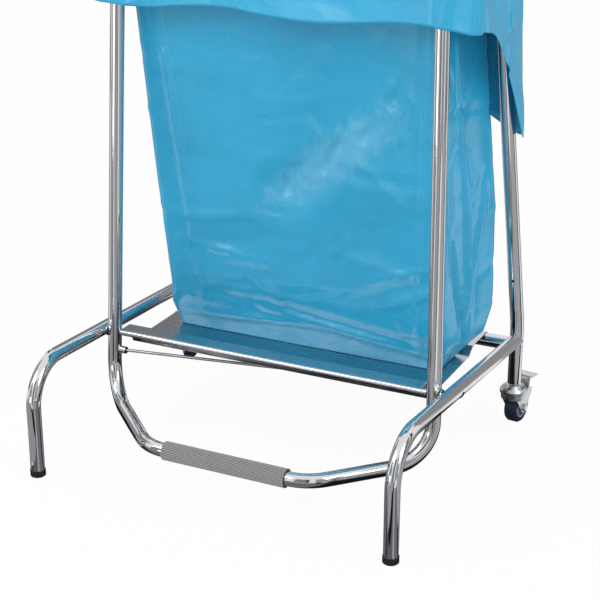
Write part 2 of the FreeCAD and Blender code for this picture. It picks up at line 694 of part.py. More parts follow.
def all_nodes():
    """Every piece by its node name."""
    nodes = {
        "rear_cross_tube": rear_cross_tube(),
        "rear_hoop": hoop(post_point, REAR_JOINT),
        "front_hoop": hoop(upright_point, AXLE_HEIGHT + FRONT_JOINT_RISE),
        "pedal_tube": pedal_tube(),
        "pedal_grip": pedal_grip(),
        "pivot_axle": pivot_axle(),
        "axle_collar": axle_collar(),
        "tray": tray(),
        "spring_rod": spring_rod(),
        "rod_eye": rod_eye(),
        "rod_anchor": rod_anchor(),
        "bag": bag(),
    }
    for name, side in (("left", -1), ("right", 1)):
        nodes["rail_" + name] = side_rail(side)
        nodes["foot_cap_" + name] = foot_cap(side)
        nodes["rear_leg_" + name] = rear_leg(side)
        nodes["pivot_washer_" + name] = pivot_washer(side)
        nodes["rail_stop_" + name] = rail_stop(side)
        nodes["rear_hoop_screw_" + name] = hoop_screw(side, post_point, REAR_JOINT, -1)
        nodes["front_hoop_screw_" + name] = hoop_screw(side, upright_point,
                                                       AXLE_HEIGHT + FRONT_JOINT_RISE, 1)
        turn = CASTOR_TURN[name]
        nodes["castor_stem_" + name] = on_leg(castor_stem(), side, 0)
        nodes["castor_race_" + name] = on_leg(castor_race(), side, 0)
        nodes["castor_fork_" + name] = on_leg(castor_fork(), side, turn)
        nodes["castor_axle_" + name] = on_leg(castor_axle(), side, turn)
        nodes["castor_core_" + name] = on_leg(castor_core(), side, turn)
        nodes["castor_tyre_" + name] = on_leg(castor_tyre(), side, turn)
        nodes["castor_brake_" + name] = on_leg(castor_brake(), side, turn)
        nodes["brake_pin_" + name] = on_leg(castor_brake_pin(), side, turn)
    return nodes


def floor_centre(shapes):
    """Middle of the floor area covered by all the pieces."""
    box = FreeCAD.BoundBox()
    for shape in shapes:
        box.add(shape.optimalBoundingBox(False))
    return V(box.Center.x, box.Center.y, 0)


def main():
    os.makedirs("parts", exist_ok=True)
    nodes = all_nodes()
    centre = floor_centre(nodes.values())
    for name, shape in nodes.items():
        shape.translate(-centre)
        shape.exportStep("parts/" + name + ".step")


main()
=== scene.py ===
import json
import math
import random

import bmesh
import bpy
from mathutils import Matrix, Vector


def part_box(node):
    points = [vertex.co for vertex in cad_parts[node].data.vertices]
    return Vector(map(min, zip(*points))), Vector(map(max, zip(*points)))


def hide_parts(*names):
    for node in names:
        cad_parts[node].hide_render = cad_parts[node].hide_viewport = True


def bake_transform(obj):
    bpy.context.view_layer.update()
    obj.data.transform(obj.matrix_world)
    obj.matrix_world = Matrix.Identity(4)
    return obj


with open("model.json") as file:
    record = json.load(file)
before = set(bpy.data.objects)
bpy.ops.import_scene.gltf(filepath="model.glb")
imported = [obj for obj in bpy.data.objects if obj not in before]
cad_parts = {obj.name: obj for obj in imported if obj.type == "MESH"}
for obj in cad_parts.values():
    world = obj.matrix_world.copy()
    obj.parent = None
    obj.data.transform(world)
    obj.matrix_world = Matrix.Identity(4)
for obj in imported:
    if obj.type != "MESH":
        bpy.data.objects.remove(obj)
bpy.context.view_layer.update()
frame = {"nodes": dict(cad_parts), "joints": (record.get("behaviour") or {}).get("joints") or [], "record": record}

bl_info = {
    "name": "Pedal bin bag holder",
    "version": (1, 0, 0),
    "blender": (4, 5, 0),
    "location": "View3D > Sidebar > Bag holder",
    "description": "Finishes, film bag and studio for a chromed pedal bag holder",
    "category": "Object",
}

MM = 0.001


def axle_place():
    """The middle of the pedal axle, which the stand's sizes are given from."""
    rock = next(joint for joint in frame["joints"] if joint["name"] == "pedal_rock")
    return Vector(rock["pos_m"])


AXLE = axle_place()
BAG_LOW, BAG_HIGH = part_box("bag")
HOOP_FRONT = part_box("front_hoop")
HOOP_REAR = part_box("rear_hoop")


class BagSizes(bpy.types.PropertyGroup):
    """The film bag between the hoops."""
    colour: bpy.props.StringProperty(
        name="Film colour", description="sRGB hex colour of the film", default="#2AA3CE")
    film: bpy.props.FloatProperty(
        name="Film", description="Thickness that the film is drawn with", default=0.0006,
        min=0.0002, max=0.002, unit="LENGTH")
    front_cuff: bpy.props.FloatProperty(
        name="Front cuff", description="How far the cuff hangs over the front hoop", default=0.112,
        min=0.03, max=0.3, unit="LENGTH")
    rear_cuff: bpy.props.FloatProperty(
        name="Rear cuff", description="How far the cuff hangs at the right rear post", default=0.33,
        min=0.03, max=0.5, unit="LENGTH")
    slack: bpy.props.FloatProperty(
        name="Slack", description="How far the panels draw in between their corners", default=0.007,
        min=0.0, max=0.03, unit="LENGTH")
    crease: bpy.props.FloatProperty(
        name="Crease depth", description="Depth of the sharp creases in the film", default=0.0032,
        min=0.0, max=0.01, unit="LENGTH")
    crease_count: bpy.props.IntProperty(
        name="Creases", description="Number of short creases", default=230, min=0, max=600)
    seed: bpy.props.IntProperty(
        name="Crease seed", description="Start of the random order of the creases", default=7)


class MetalFinish(bpy.types.PropertyGroup):
    """Metal finishes of the frame."""
    chrome: bpy.props.StringProperty(
        name="Chrome colour", description="sRGB hex colour of the chrome plate", default="#D9DADC")
    sheet: bpy.props.StringProperty(
        name="Sheet colour", description="sRGB hex colour of the tray's sheet", default="#C4C8CC")
    polish: bpy.props.FloatProperty(
        name="Chrome roughness", description="Roughness of the chrome plate", default=0.09,
        min=0.0, max=1.0, subtype="FACTOR")


class StageSizes(bpy.types.PropertyGroup):
    """Camera, light and floor."""
    floor_size: bpy.props.FloatProperty(
        name="Floor", description="Side of the square floor", default=30.0, min=5, max=100, unit="LENGTH")
    floor_colour: bpy.props.StringProperty(
        name="Floor colour", description="sRGB hex colour of the floor", default="#F4F4F4")
    world_strength: bpy.props.FloatProperty(
        name="Sky strength", description="Strength of the even light", default=0.72, min=0, max=2)
    key_power: bpy.props.FloatProperty(
        name="Key power", description="Power of the large soft lamp", default=95.0, min=0, max=2000,
        unit="POWER")


def hex_colour(text):
    """An sRGB hex colour as the linear colour that a shader takes."""
    values = [int(text[i:i + 2], 16) / 255 for i in (1, 3, 5)]
    return tuple(v / 12.92 if v <= 0.04045 else ((v + 0.055) / 1.055) ** 2.4 for v in values) + (1.0,)


def add_node(tree, kind, settings=None, inputs=None):
    """Adds a node with its settings; an input takes a value or another node's output."""
    made = tree.nodes.new(kind)
    for name, value in (settings or {}).items():
        setattr(made, name, value)
    for name, value in (inputs or {}).items():
        if isinstance(value, bpy.types.NodeSocket):
            tree.links.new(value, made.inputs[name])
        else:
            made.inputs[name].default_value = value
    return made


def per_metre(millimetres):
    """Texture scale at which one repeat has that size."""
    return 1.0 / (millimetres * MM)


def empty_tree(owner):
    """The node tree of a material or world, cleared."""
    owner.use_nodes = True
    owner.node_tree.nodes.clear()
    return owner.node_tree


def new_material(name, shader_inputs):
    """A material with one Principled shader, its tree and the place's coordinates."""
    material = bpy.data.materials.new(name)
    tree = empty_tree(material)
    shader = add_node(tree, "ShaderNodeBsdfPrincipled", inputs=shader_inputs)
    add_node(tree, "ShaderNodeOutputMaterial", inputs={"Surface": shader.outputs["BSDF"]})
    place = add_node(tree, "ShaderNodeTexCoord")
    return material, tree, shader, place.outputs["Object"]


def stretched(tree, place, scale):
    """Coordinates scaled differently along each axis, for grain with a direction."""
    return add_node(tree, "ShaderNodeMapping", inputs={"Vector": place, "Scale": scale}).outputs["Vector"]


def noise(tree, place, millimetres, detail=3.0, rough=0.5):
    """A soft pattern whose spots are about that size."""
    made = add_node(tree, "ShaderNodeTexNoise", inputs={
        "Vector": place, "Scale": per_metre(millimetres), "Detail": detail, "Roughness": rough})
    return made.outputs["Fac"]


def spread(tree, value, low, high):
    """Maps a pattern's middle range to low and high."""
    made = add_node(tree, "ShaderNodeMapRange", inputs={
        "Value": value, "From Min": 0.3, "From Max": 0.7, "To Min": low, "To Max": high})
    return made.outputs["Result"]


def two_tone(tree, value, dark, light):
    """A colour between two hex colours, by a pattern."""
    made = add_node(tree, "ShaderNodeValToRGB", inputs={"Fac": value})
    made.color_ramp.elements[0].position = 0.3
    made.color_ramp.elements[1].position = 0.7
    made.color_ramp.elements[0].color = hex_colour(dark)
    made.color_ramp.elements[1].color = hex_colour(light)
    return made.outputs["Color"]


def relief(tree, height, millimetres, strength=1.0, under=None):
    """Bump of that depth, over another bump if there is one."""
    inputs = {"Height": height, "Distance": millimetres * MM, "Strength": strength}
    if under is not None:
        inputs["Normal"] = under
    return add_node(tree, "ShaderNodeBump", inputs=inputs).outputs["Normal"]


def chrome_plate(finish):
    """Bright chrome over drawn steel tube: a mirror with faint haze and lengthwise draw marks."""
    material, tree, shader, place = new_material("chrome_plate", {
        "Base Color": hex_colour(finish.chrome), "Metallic": 1.0})
    haze = noise(tree, place, 38)
    tree.links.new(spread(tree, haze, finish.polish * 0.7, finish.polish * 1.5), shader.inputs["Roughness"])
    # draw marks are finer than a pixel, so they are drawn 3 mm apart and very shallow
    marks = noise(tree, stretched(tree, place, (1, 1, 0.04)), 3, 2)
    tree.links.new(relief(tree, marks, 0.02, 0.25), shader.inputs["Normal"])
    return material


def satin_stainless(finish):
    """Rolled stainless sheet with a satin grain along its width."""
    material, tree, shader, place = new_material("satin_stainless_sheet", {
        "Base Color": hex_colour(finish.sheet), "Metallic": 1.0})
    grain = noise(tree, stretched(tree, place, (0.03, 1, 1)), 2.2, 4)
    tree.links.new(spread(tree, grain, 0.16, 0.30), shader.inputs["Roughness"])
    tree.links.new(relief(tree, grain, 0.02, 0.3), shader.inputs["Normal"])
    return material


def zinc_plate(name, light, dark, low, high):
    """Bright zinc plate on pressed or turned steel: soft sheen with slight clouding."""
    material, tree, shader, place = new_material(name, {"Metallic": 1.0})
    cloud = noise(tree, place, 9)
    tree.links.new(two_tone(tree, cloud, dark, light), shader.inputs["Base Color"])
    tree.links.new(spread(tree, cloud, low, high), shader.inputs["Roughness"])
    return material


def black_oxide():
    """Blackened screw steel, dull with worn bright specks."""
    material, tree, shader, place = new_material("black_oxide_steel", {"Metallic": 1.0, "Roughness": 0.42})
    specks = noise(tree, place, 1.5)
    tree.links.new(two_tone(tree, specks, "#1B1B1C", "#343436"), shader.inputs["Base Color"])
    return material


def moulded_plastic(name, dark, light, low, high, grain_mm):
    """Moulded plastic or rubber with a fine eroded texture."""
    material, tree, shader, place = new_material(name, {"Specular IOR Level": 0.4})
    tree.links.new(two_tone(tree, noise(tree, place, 14), dark, light), shader.inputs["Base Color"])
    grain = noise(tree, place, grain_mm, 4)
    tree.links.new(spread(tree, grain, low, high), shader.inputs["Roughness"])
    tree.links.new(relief(tree, grain, 0.06, 0.5), shader.inputs["Normal"])
    return material


# depth of the grooves between the sleeve's ribs, in metres
RIB_DEPTH = 0.001


def ribbed_sleeve():
    """Extruded grey PVC sleeve: matt pale ribs, with painted shade darkening the grooves between them."""
    material, tree, shader, place = new_material("grey_pvc_sleeve", {"Specular IOR Level": 0.35})
    low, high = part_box("pedal_grip")
    middle = (low + high) / 2
    outer = (high.z - low.z) / 2
    across = add_node(tree, "ShaderNodeMapping", inputs={
        "Vector": place, "Scale": (0, 1, 1), "Location": (0, -middle.y, -middle.z)})
    reach = add_node(tree, "ShaderNodeVectorMath", {"operation": "LENGTH"}, {0: across.outputs["Vector"]})
    height = add_node(tree, "ShaderNodeMapRange", inputs={
        "Value": reach.outputs["Value"], "From Min": outer - RIB_DEPTH, "From Max": outer})
    # painted shade: the grooves are coloured darker than the ridges
    shade = two_tone(tree, height.outputs["Result"], "#4C4C4A", "#9C9C9A")
    tree.links.new(shade, shader.inputs["Base Color"])
    grain = noise(tree, place, 0.9, 4)
    tree.links.new(spread(tree, grain, 0.55, 0.7), shader.inputs["Roughness"])
    tree.links.new(relief(tree, grain, 0.06, 0.5), shader.inputs["Normal"])
    return material


# the band of crumpled film on the front that is painted paler as a highlight: its middle and half-sizes
# in metres, its slope in degrees and the most that the painted highlight pales it
PAINTED_HIGHLIGHT_PLACE = (AXLE.x + 0.072, AXLE.y + 0.099, 0.534)
PAINTED_HIGHLIGHT_REACH = (0.187, 0.06, 0.044)
PAINTED_HIGHLIGHT_LEAN = -37.6
PAINTED_HIGHLIGHT_SHARE = 0.2
# the colour sockets of a Mix node, which share their names with its number sockets
MIX_UNDER, MIX_OVER, MIX_RESULT = 6, 7, 2


def polythene_film(colour):
    """Blown polythene film: a glossy skin, crinkled, with cloudy light through it."""
    material, tree, shader, place = new_material("blown_polythene_film", {
        "IOR": 1.5, "Coat Weight": 0.35, "Coat Roughness": 0.1})
    base = hex_colour(colour)
    cloud = noise(tree, stretched(tree, place, (0.5, 0.5, 1)), 95, 4, 0.55)
    ramp = add_node(tree, "ShaderNodeValToRGB", inputs={"Fac": cloud})
    ramp.color_ramp.elements[0].position = 0.32
    ramp.color_ramp.elements[1].position = 0.7
    ramp.color_ramp.elements[0].color = tuple(v * 0.93 for v in base[:3]) + (1.0,)
    ramp.color_ramp.elements[1].color = tuple(min(1.0, v * 1.08) for v in base[:3]) + (1.0,)
    # painted highlight: the film is painted paler in one band over the crumples, ragged at its rim
    near = add_node(tree, "ShaderNodeMapping", {"vector_type": "TEXTURE"}, {
        "Vector": place, "Location": PAINTED_HIGHLIGHT_PLACE, "Rotation": (0, math.radians(PAINTED_HIGHLIGHT_LEAN), 0),
        "Scale": PAINTED_HIGHLIGHT_REACH})
    reach = add_node(tree, "ShaderNodeVectorMath", {"operation": "LENGTH"}, {0: near.outputs["Vector"]})
    rags = noise(tree, stretched(tree, place, (1, 1, 0.45)), 13, 7, 0.75)
    ragged = add_node(tree, "ShaderNodeMath", {"operation": "MULTIPLY_ADD"}, {
        0: rags, 1: 1.7, 2: reach.outputs["Value"]})
    share = add_node(tree, "ShaderNodeMapRange", inputs={
        "Value": ragged.outputs[0], "From Min": 1.35, "From Max": 1.95,
        "To Min": PAINTED_HIGHLIGHT_SHARE, "To Max": 0.0})
    # mixes the painted highlight's pale blue over the film's colour
    film = add_node(tree, "ShaderNodeMix", {"data_type": "RGBA"}, {
        "Factor": share.outputs["Result"], MIX_UNDER: ramp.outputs["Color"],
        MIX_OVER: hex_colour("#9CCFE6")})
    tree.links.new(film.outputs[MIX_RESULT], shader.inputs["Base Color"])
    tree.links.new(spread(tree, noise(tree, place, 22), 0.2, 0.32), shader.inputs["Roughness"])
    # crinkles run across the bag, 9 mm apart, over flat facets that the film keeps from its packing
    crinkle = noise(tree, stretched(tree, place, (0.2, 0.2, 1)), 9, 5, 0.6)
    facets = add_node(tree, "ShaderNodeTexVoronoi", {"feature": "F1"}, {
        "Vector": stretched(tree, place, (0.55, 0.55, 1)), "Scale": per_metre(55)})
    under = relief(tree, facets.outputs["Distance"], 2.4, 0.35)
    tree.links.new(relief(tree, crinkle, 0.7, 0.75, under), shader.inputs["Normal"])
    return material


FINISH_OF_SLOT = {}


def make_finishes(finish, bag):
    """Every finish, by the slot that carries it."""
    FINISH_OF_SLOT.update({
        "chromed_tube": chrome_plate(finish),
        "polished_sheet": satin_stainless(finish),
        "bright_steel": zinc_plate("bright_drawn_steel", "#CFD0D1", "#AEB0B2", 0.14, 0.26),
        "zinc_steel": zinc_plate("bright_zinc_plate", "#DEDFDF", "#BDBFC2", 0.28, 0.44),
        "black_steel": black_oxide(),
        "grey_grip": ribbed_sleeve(),
        "black_plastic": moulded_plastic("black_polythene_cap", "#151516", "#222224", 0.4, 0.6, 0.8),
        "black_rubber": moulded_plastic("black_rubber_stop", "#18181A", "#262628", 0.6, 0.8, 0.8),
        "navy_tyre": moulded_plastic("navy_polyurethane_tread", "#121A33", "#1B2647", 0.3, 0.5, 1.2),
        "grey_plastic": moulded_plastic("grey_nylon_hub", "#7E8389", "#979CA2", 0.35, 0.5, 0.9),
        "blue_film": polythene_film(bag.colour),
    })


# edges sharper than this stay sharp; the grip's ribs have flatter edges than the rest
SHARP_EDGE = 35
SHARP_EDGE_GRIP = 12
WELD_REACH = 0.00001


def smooth_faces(piece, degrees):
    """Shades the round faces smoothly and keeps the real edges sharp."""
    for face in piece.data.polygons:
        face.use_smooth = True
    weld = piece.modifiers.new("weld", "WELD")
    weld.merge_threshold = WELD_REACH
    split = piece.modifiers.new("sharp_edges", "EDGE_SPLIT")
    split.split_angle = math.radians(degrees)


def between(low, high, share):
    """The value at a share of the way from low to high."""
    return low + (high - low) * share


# sizes in metres: the tubes, the film's clearance inside and outside the hoops, and the middle of
# the hoops' top bars
TUBE_R = 0.0125
HOOP_CLEARANCE = 0.0018
CUFF_CLEARANCE = 0.0015
HOOP_TOP = HOOP_FRONT[1].z - TUBE_R


def post_depth(height):
    """Depth of the rear posts' middle at a height, from the axle."""
    low, high = HOOP_REAR
    share = (height - low.z) / (HOOP_TOP - low.z)
    return between(high.y - TUBE_R, low.y + TUBE_R, min(1.0, share)) - AXLE.y


def upright_depth(height):
    """Depth of the front uprights' middle at a height, from the axle."""
    low, high = HOOP_FRONT
    share = (height - low.z) / (HOOP_TOP - low.z)
    return between(low.y + TUBE_R, high.y - TUBE_R, min(1.0, share)) - AXLE.y


# the bag's lower outline: height, front and rear half-width, front and rear depth from the axle
BAG_LEVELS = ((BAG_LOW.z, 0.262, 0.262, 0.150, 0.236), (0.205, 0.272, 0.308, 0.139, 0.276),
              (0.255, 0.268, 0.321, 0.131, 0.284))
# its waist and its mouth, whose other depths follow the posts
BAG_WAIST = (0.45, 0.277, 0.320, 0.108)
BAG_MOUTH = (HOOP_TOP, 0.286, 0.300)


def bag_outline(height):
    """Front and rear half-widths and depths of the bag at a height, from the axle, in metres."""
    clear = TUBE_R + HOOP_CLEARANCE
    levels = [*BAG_LEVELS, (*BAG_WAIST, post_depth(BAG_WAIST[0]) - clear),
              (*BAG_MOUTH, upright_depth(HOOP_TOP) + clear, post_depth(HOOP_TOP) - clear)]
    for (z0, *low), (z1, *high) in zip(levels, levels[1:]):
        if height <= z1:
            share = max(0.0, (height - z0) / (z1 - z0))
            return [between(a, b, share) for a, b in zip(low, high)]
    return levels[-1][1:]


# points along each panel and round each corner; the front shows most, so it has most
SIDES = (("front", 104), ("right", 44), ("rear", 56), ("left", 40))
CORNER_STEPS = 7


def ring_places(outline, radius, height):
    """Points round the bag at one height, with each point's side and share along it."""
    front_half, rear_half, front_y, rear_y = outline
    corners = [Vector((-front_half, front_y)), Vector((front_half, front_y)),
               Vector((rear_half, rear_y)), Vector((-rear_half, rear_y))]
    places = []
    for index, (side, steps) in enumerate(SIDES):
        start = corners[index]
        end = corners[(index + 1) % 4]
        run = (end - start).normalized()
        outward = Vector((run.y, -run.x))
        after = (corners[(index + 2) % 4] - end).normalized()
        turn = run.angle(after)
        before = (start - corners[index - 1]).normalized()
        reach_in = radius * math.tan(before.angle(run) / 2)
        reach_out = radius * math.tan(turn / 2)
        length = (end - start).length
        for step in range(steps):
            share = step / steps
            along = between(reach_in, length - reach_out, share)
            point = start + run * along
            places.append((Vector((*point, height)), Vector((*outward, 0)), side, share))
        centre = end - run * reach_out - outward * radius
        for step in range(CORNER_STEPS):
            angle = turn * step / CORNER_STEPS
            direction = Vector((outward.x * math.cos(angle) + run.x * math.sin(angle),
                                outward.y * math.cos(angle) + run.y * math.sin(angle)))
            point = centre + direction * radius
            places.append((Vector((*point, height)), Vector((*direction, 0)), side, 1.0))
    return places


# long upright folds from the film's flat packing: side, share, lean
FLAT_FOLDS = (("front", 0.085, 0.05), ("front", 0.955, -0.03), ("right", 0.42, 0.11),
              ("left", 0.45, -0.08), ("rear", 0.3, 0.02), ("rear", 0.71, -0.02))
# folds that run up from the lifted rear corner on the right, and sags above the base: side, share,
# height, angle, length, and depth as a multiple of the crease depth
SAGS = (("right", 0.62, 0.34, 1.28, 0.34, 3.0), ("right", 0.3, 0.3, 1.85, 0.3, -2.6),
        ("front", 0.93, 0.3, 0.42, 0.2, 1.2), ("front", 0.88, 0.34, 0.35, 0.18, 0.9),
        ("front", 0.72, 0.205, -0.12, 0.42, 1.0), ("front", 0.6, 0.225, -0.1, 0.5, -0.9),
        ("front", 0.3, 0.2, 0.05, 0.4, 1.1), ("front", 0.2, 0.4, 0.12, 0.22, 0.7),
        ("front", 0.22, 0.33, -0.15, 0.24, 0.8))
# the crumpled band on the front: creases in it, share and height at its ends, and half its height
BAND_CREASES = 48
BAND_SHARE = (0.42, 0.88)
BAND_HEIGHT = (0.445, 0.643)
BAND_REACH = 0.035


def film_creases(bag):
    """Sharp creases as (side, share, height, angle, length, depth), in a fixed random order."""
    dice = random.Random(bag.seed)
    creases = []
    for _ in range(bag.crease_count):
        side = dice.choice(("front", "front", "front", "front", "rear", "rear", "left", "right"))
        share = dice.uniform(0.03, 0.97)
        steep = dice.choice((0, 0, 0, 1))
        angle = dice.choice((-1, 1)) * dice.uniform(0.6, 1.1) if steep else dice.gauss(0, 0.22)
        creases.append((side, share, dice.uniform(0.17, 0.86), angle, dice.uniform(0.05, 0.2),
                        bag.crease * dice.uniform(-0.55, 0.55)))
    for side, share, lean in FLAT_FOLDS:
        creases.append((side, share, 0.50, math.pi / 2 + lean, 0.7, bag.crease * 2.0))
    creases += [(*place, bag.crease * depth) for *place, depth in SAGS]
    # the band rises to the right and tilts the film to the light
    band = random.Random(bag.seed + 1)
    for _ in range(BAND_CREASES):
        along = band.uniform(0, 1)
        height = between(*BAND_HEIGHT, along) + band.uniform(-BAND_REACH, BAND_REACH)
        creases.append(("front", between(*BAND_SHARE, along), height, band.gauss(0.6, 0.5),
                        band.uniform(0.03, 0.09), bag.crease * band.uniform(-1.1, 0.3)))
    # more short creases over the rear and the ends, and so over the cuff, which hangs over them
    away = random.Random(bag.seed + 2)
    for _ in range(bag.crease_count // 2):
        side = away.choice(("rear", "rear", "rear", "left", "right"))
        creases.append((side, away.uniform(0.04, 0.96), away.uniform(0.17, 0.88), away.gauss(0, 0.5),
                        away.uniform(0.06, 0.24), bag.crease * away.uniform(-1.2, 0.6)))
    return creases


# round dents and bumps between the creases: side, share, height, reach and depth
CRUMPLES = (("front", 0.47, 0.470, 0.065, -0.008), ("front", 0.55, 0.495, 0.06, -0.007),
            ("front", 0.61, 0.530, 0.05, -0.005), ("front", 0.80, 0.40, 0.08, -0.004),
            ("right", 0.5, 0.5, 0.06, 0.004), ("left", 0.5, 0.4, 0.06, 0.004),
            ("rear", 0.5, 0.45, 0.1, 0.005))


# how far a crease spreads to each side of its line, and about how wide each panel is, in metres
CREASE_REACH = 0.016
SIDE_WIDTH = {"front": 0.54, "rear": 0.62, "left": 0.17, "right": 0.17}


def crease_depth(creases, side, share, height):
    """How far the creases move the film out at one place."""
    width = SIDE_WIDTH[side]
    total = 0.0
    for name, at_share, at_height, angle, length, depth in creases:
        if name != side:
            continue
        across = (share - at_share) * width
        up = height - at_height
        if abs(across) > length or abs(up) > length:
            continue
        along = across * math.cos(angle) + up * math.sin(angle)
        off = abs(-across * math.sin(angle) + up * math.cos(angle))
        ends = max(0.0, 1 - (2 * along / length) ** 2)
        total += depth * ends * max(0.0, 1 - off / CREASE_REACH) ** 1.5
    for name, at_share, at_height, reach, depth in CRUMPLES:
        if name == side:
            far = math.hypot((share - at_share) * width, height - at_height) / reach
            total += depth * max(0.0, 1 - far) if far < 1 else 0.0
    return total


# depth of the panels' soft waves, low down and higher up, and of the waves in the cuff's edge
LOW_WAVE = 0.004
HIGH_WAVE = 0.0022
EDGE_WAVE = 0.006


def slack_depth(bag, side, share, height):
    """How far a panel draws in between its corners, with soft waves near its base."""
    if share >= 1.0:
        return 0.0
    bow = math.sin(math.pi * share)
    rise = (height - BAG_LOW.z) / (BAG_HIGH.z - BAG_LOW.z)
    drawn = bag.slack * bow * math.sin(math.pi * min(1.0, max(0.0, rise)))
    low_waves = LOW_WAVE * bow * math.exp(-rise / 0.1) * math.sin(share * 9.5 + 0.6)
    high_waves = HIGH_WAVE * bow * math.sin(share * 5.1 + height * 11) * min(1.0, rise * 4)
    return -drawn + low_waves + high_waves


def cuff_drop(bag, side, share):
    """How far the folded cuff hangs at a place round the bag."""
    rear_side = {"front": 0.0, "right": share, "rear": 1.0 - share, "left": 0.0}[side]
    hang = between(bag.front_cuff, bag.rear_cuff, rear_side ** 2.2)
    return hang + EDGE_WAVE * math.sin(share * 13) * (1 if side in ("front", "rear") else 0.4)


# rings of points over the bag's floor, up its panels, over the hoops and down the cuff
FLOOR_RINGS = 5
BODY_RINGS = 126
ROLL_RINGS = 8
CUFF_RINGS = 24
# corner radii of the bag at its base, inside its mouth and round the hoops, in metres
BAG_CORNER = 0.016
MOUTH_CORNER = 0.013
CUFF_CORNER = 0.015
# how far the film lies above the tray and below the top of the bag's space, and how far behind the
# axle the floor's middle lies
BASE_LIFT = 0.0004
TOP_DROP = 0.0006
FLOOR_MIDDLE = 0.193
# rings lie closer together near the base; slack and creases fade out at a panel's base and mouth
RING_SPACING = 1.15
FADE_BASE = 14
FADE_MOUTH = 9
# how far a panel may stand out, so that the film clears the posts and uprights
OUT_MOST = 0.0016
OUT_MOST_FRONT = 0.006
FRONT_FREE_BELOW = 0.7
# the cuff's creases are those of the panel behind it, mirrored, lower down and deeper
CUFF_CREASE_DROP = 0.12
CUFF_CREASE_GAIN = 1.2
CUFF_WAVE = 0.0025
CUFF_IN_MOST = 0.0005


def floor_rings(base):
    """Flat rings from the middle of the bag's floor to its edge."""
    floor = ring_places(bag_outline(base), BAG_CORNER * 0.7, base)
    middle = Vector((0, FLOOR_MIDDLE, base))
    return [[middle + (place - middle) * (step / (FLOOR_RINGS + 1)) for place, *_ in floor]
            for step in range(1, FLOOR_RINGS + 1)]


def panel_rings(bag, creases, base, top):
    """Rings up the four panels, slack and creased, but smooth at the base and the mouth."""
    rings = []
    for step in range(BODY_RINGS + 1):
        rise = step / BODY_RINGS
        height = base + (top - base) * rise ** RING_SPACING
        radius = between(BAG_CORNER, MOUTH_CORNER, rise ** 3)
        fade = min(1.0, rise * FADE_BASE) * min(1.0, (1 - rise) * FADE_MOUTH)
        ring = []
        for place, outward, side, share in ring_places(bag_outline(height), radius, height):
            move = slack_depth(bag, side, share, height) + crease_depth(creases, side, share, height)
            most = OUT_MOST_FRONT if side == "front" and height < FRONT_FREE_BELOW else OUT_MOST
            ring.append(place + outward * min(move * fade, most))
        rings.append(ring)
    return rings


def roll_rings(inner, mouth, roll):
    """Rings that turn over the hoops, from the inside of the mouth to the outside."""
    rings = []
    for step in range(1, ROLL_RINGS + 1):
        angle = math.pi * step / ROLL_RINGS
        share = (1 - math.cos(angle)) / 2
        rings.append([a.lerp(place, share) + Vector((0, 0, roll * math.sin(angle)))
                      for a, (place, *_) in zip(inner, mouth)])
    return rings


def cuff_rings(bag, creases, mouth, top, top_front, top_rear):
    """Rings down the cuff, which follows the lean of the uprights in front and the posts behind."""
    rings = []
    for step in range(1, CUFF_RINGS + 1):
        share_down = step / CUFF_RINGS
        ring = []
        for place, outward, side, share in mouth:
            fall = cuff_drop(bag, side, share) * share_down
            height = top - fall
            lean_front = upright_depth(height) - upright_depth(top)
            lean_rear = post_depth(height) - post_depth(top)
            to_rear = (place.y - top_front) / (top_rear - top_front)
            ripple = CUFF_WAVE * math.sin(share * 21 + height * 30) * share_down
            crease = crease_depth(creases, side, 1 - share, height - CUFF_CREASE_DROP)
            ripple += CUFF_CREASE_GAIN * crease * min(1.0, share_down * 3)
            ring.append(Vector((place.x, place.y + between(lean_front, lean_rear, to_rear), height))
                        + outward * max(ripple, -CUFF_IN_MOST))
        rings.append(ring)
    return rings


def film_rings(bag):
    """Closed rings of points from the middle of the bag's floor, up its inside and down its cuff."""
    creases = film_creases(bag)
    base = BAG_LOW.z + BASE_LIFT
    top = HOOP_TOP
    rings = floor_rings(base) + panel_rings(bag, creases, base, top)
    outside = TUBE_R + CUFF_CLEARANCE + bag.film
    top_front = upright_depth(top) - outside
    top_rear = post_depth(top) + outside
    wide = HOOP_REAR[1].x - AXLE.x - TUBE_R + outside
    mouth = ring_places((wide, wide, top_front, top_rear), CUFF_CORNER, top)
    rings += roll_rings(rings[-1], mouth, BAG_HIGH.z - TOP_DROP - top)
    rings += cuff_rings(bag, creases, mouth, top, top_front, top_rear)
    return rings


def film_mesh(rings):
    """A skin over the rings, closed over the middle of the first."""
    mesh = bmesh.new()
    rows = [[mesh.verts.new(point + Vector((AXLE.x, AXLE.y, 0))) for point in ring] for ring in rings]
    count = len(rows[0])
    centre = sum((v.co for v in rows[0]), Vector()) / count
    hub = mesh.verts.new(centre)
    for index in range(count):
        mesh.faces.new((hub, rows[0][(index + 1) % count], rows[0][index]))
        for low, high in zip(rows, rows[1:]):
            mesh.faces.new((low[index], low[(index + 1) % count], high[(index + 1) % count], high[index]))
    bmesh.ops.recalc_face_normals(mesh, faces=mesh.faces[:])
    data = bpy.data.meshes.new("film_bag")
    mesh.to_mesh(data)
    mesh.free()
    return data


class BAGHOLDER_OT_finishes(bpy.types.Operator):
    """Give every metal, plastic and rubber piece its finish"""
    bl_idname = "bagholder.finishes"
    bl_label = "Finishes"

    def execute(self, context):
        make_finishes(context.scene.bagholder_metal, context.scene.bagholder_bag)
        slots = {part["node"]: part["material_slot"] for part in frame["record"]["subparts"]}
        for name, piece in frame["nodes"].items():
            piece.data.materials.clear()
            piece.data.materials.append(FINISH_OF_SLOT[slots[name]])
            smooth_faces(piece, SHARP_EDGE_GRIP if name == "pedal_grip" else SHARP_EDGE)
        return {"FINISHED"}


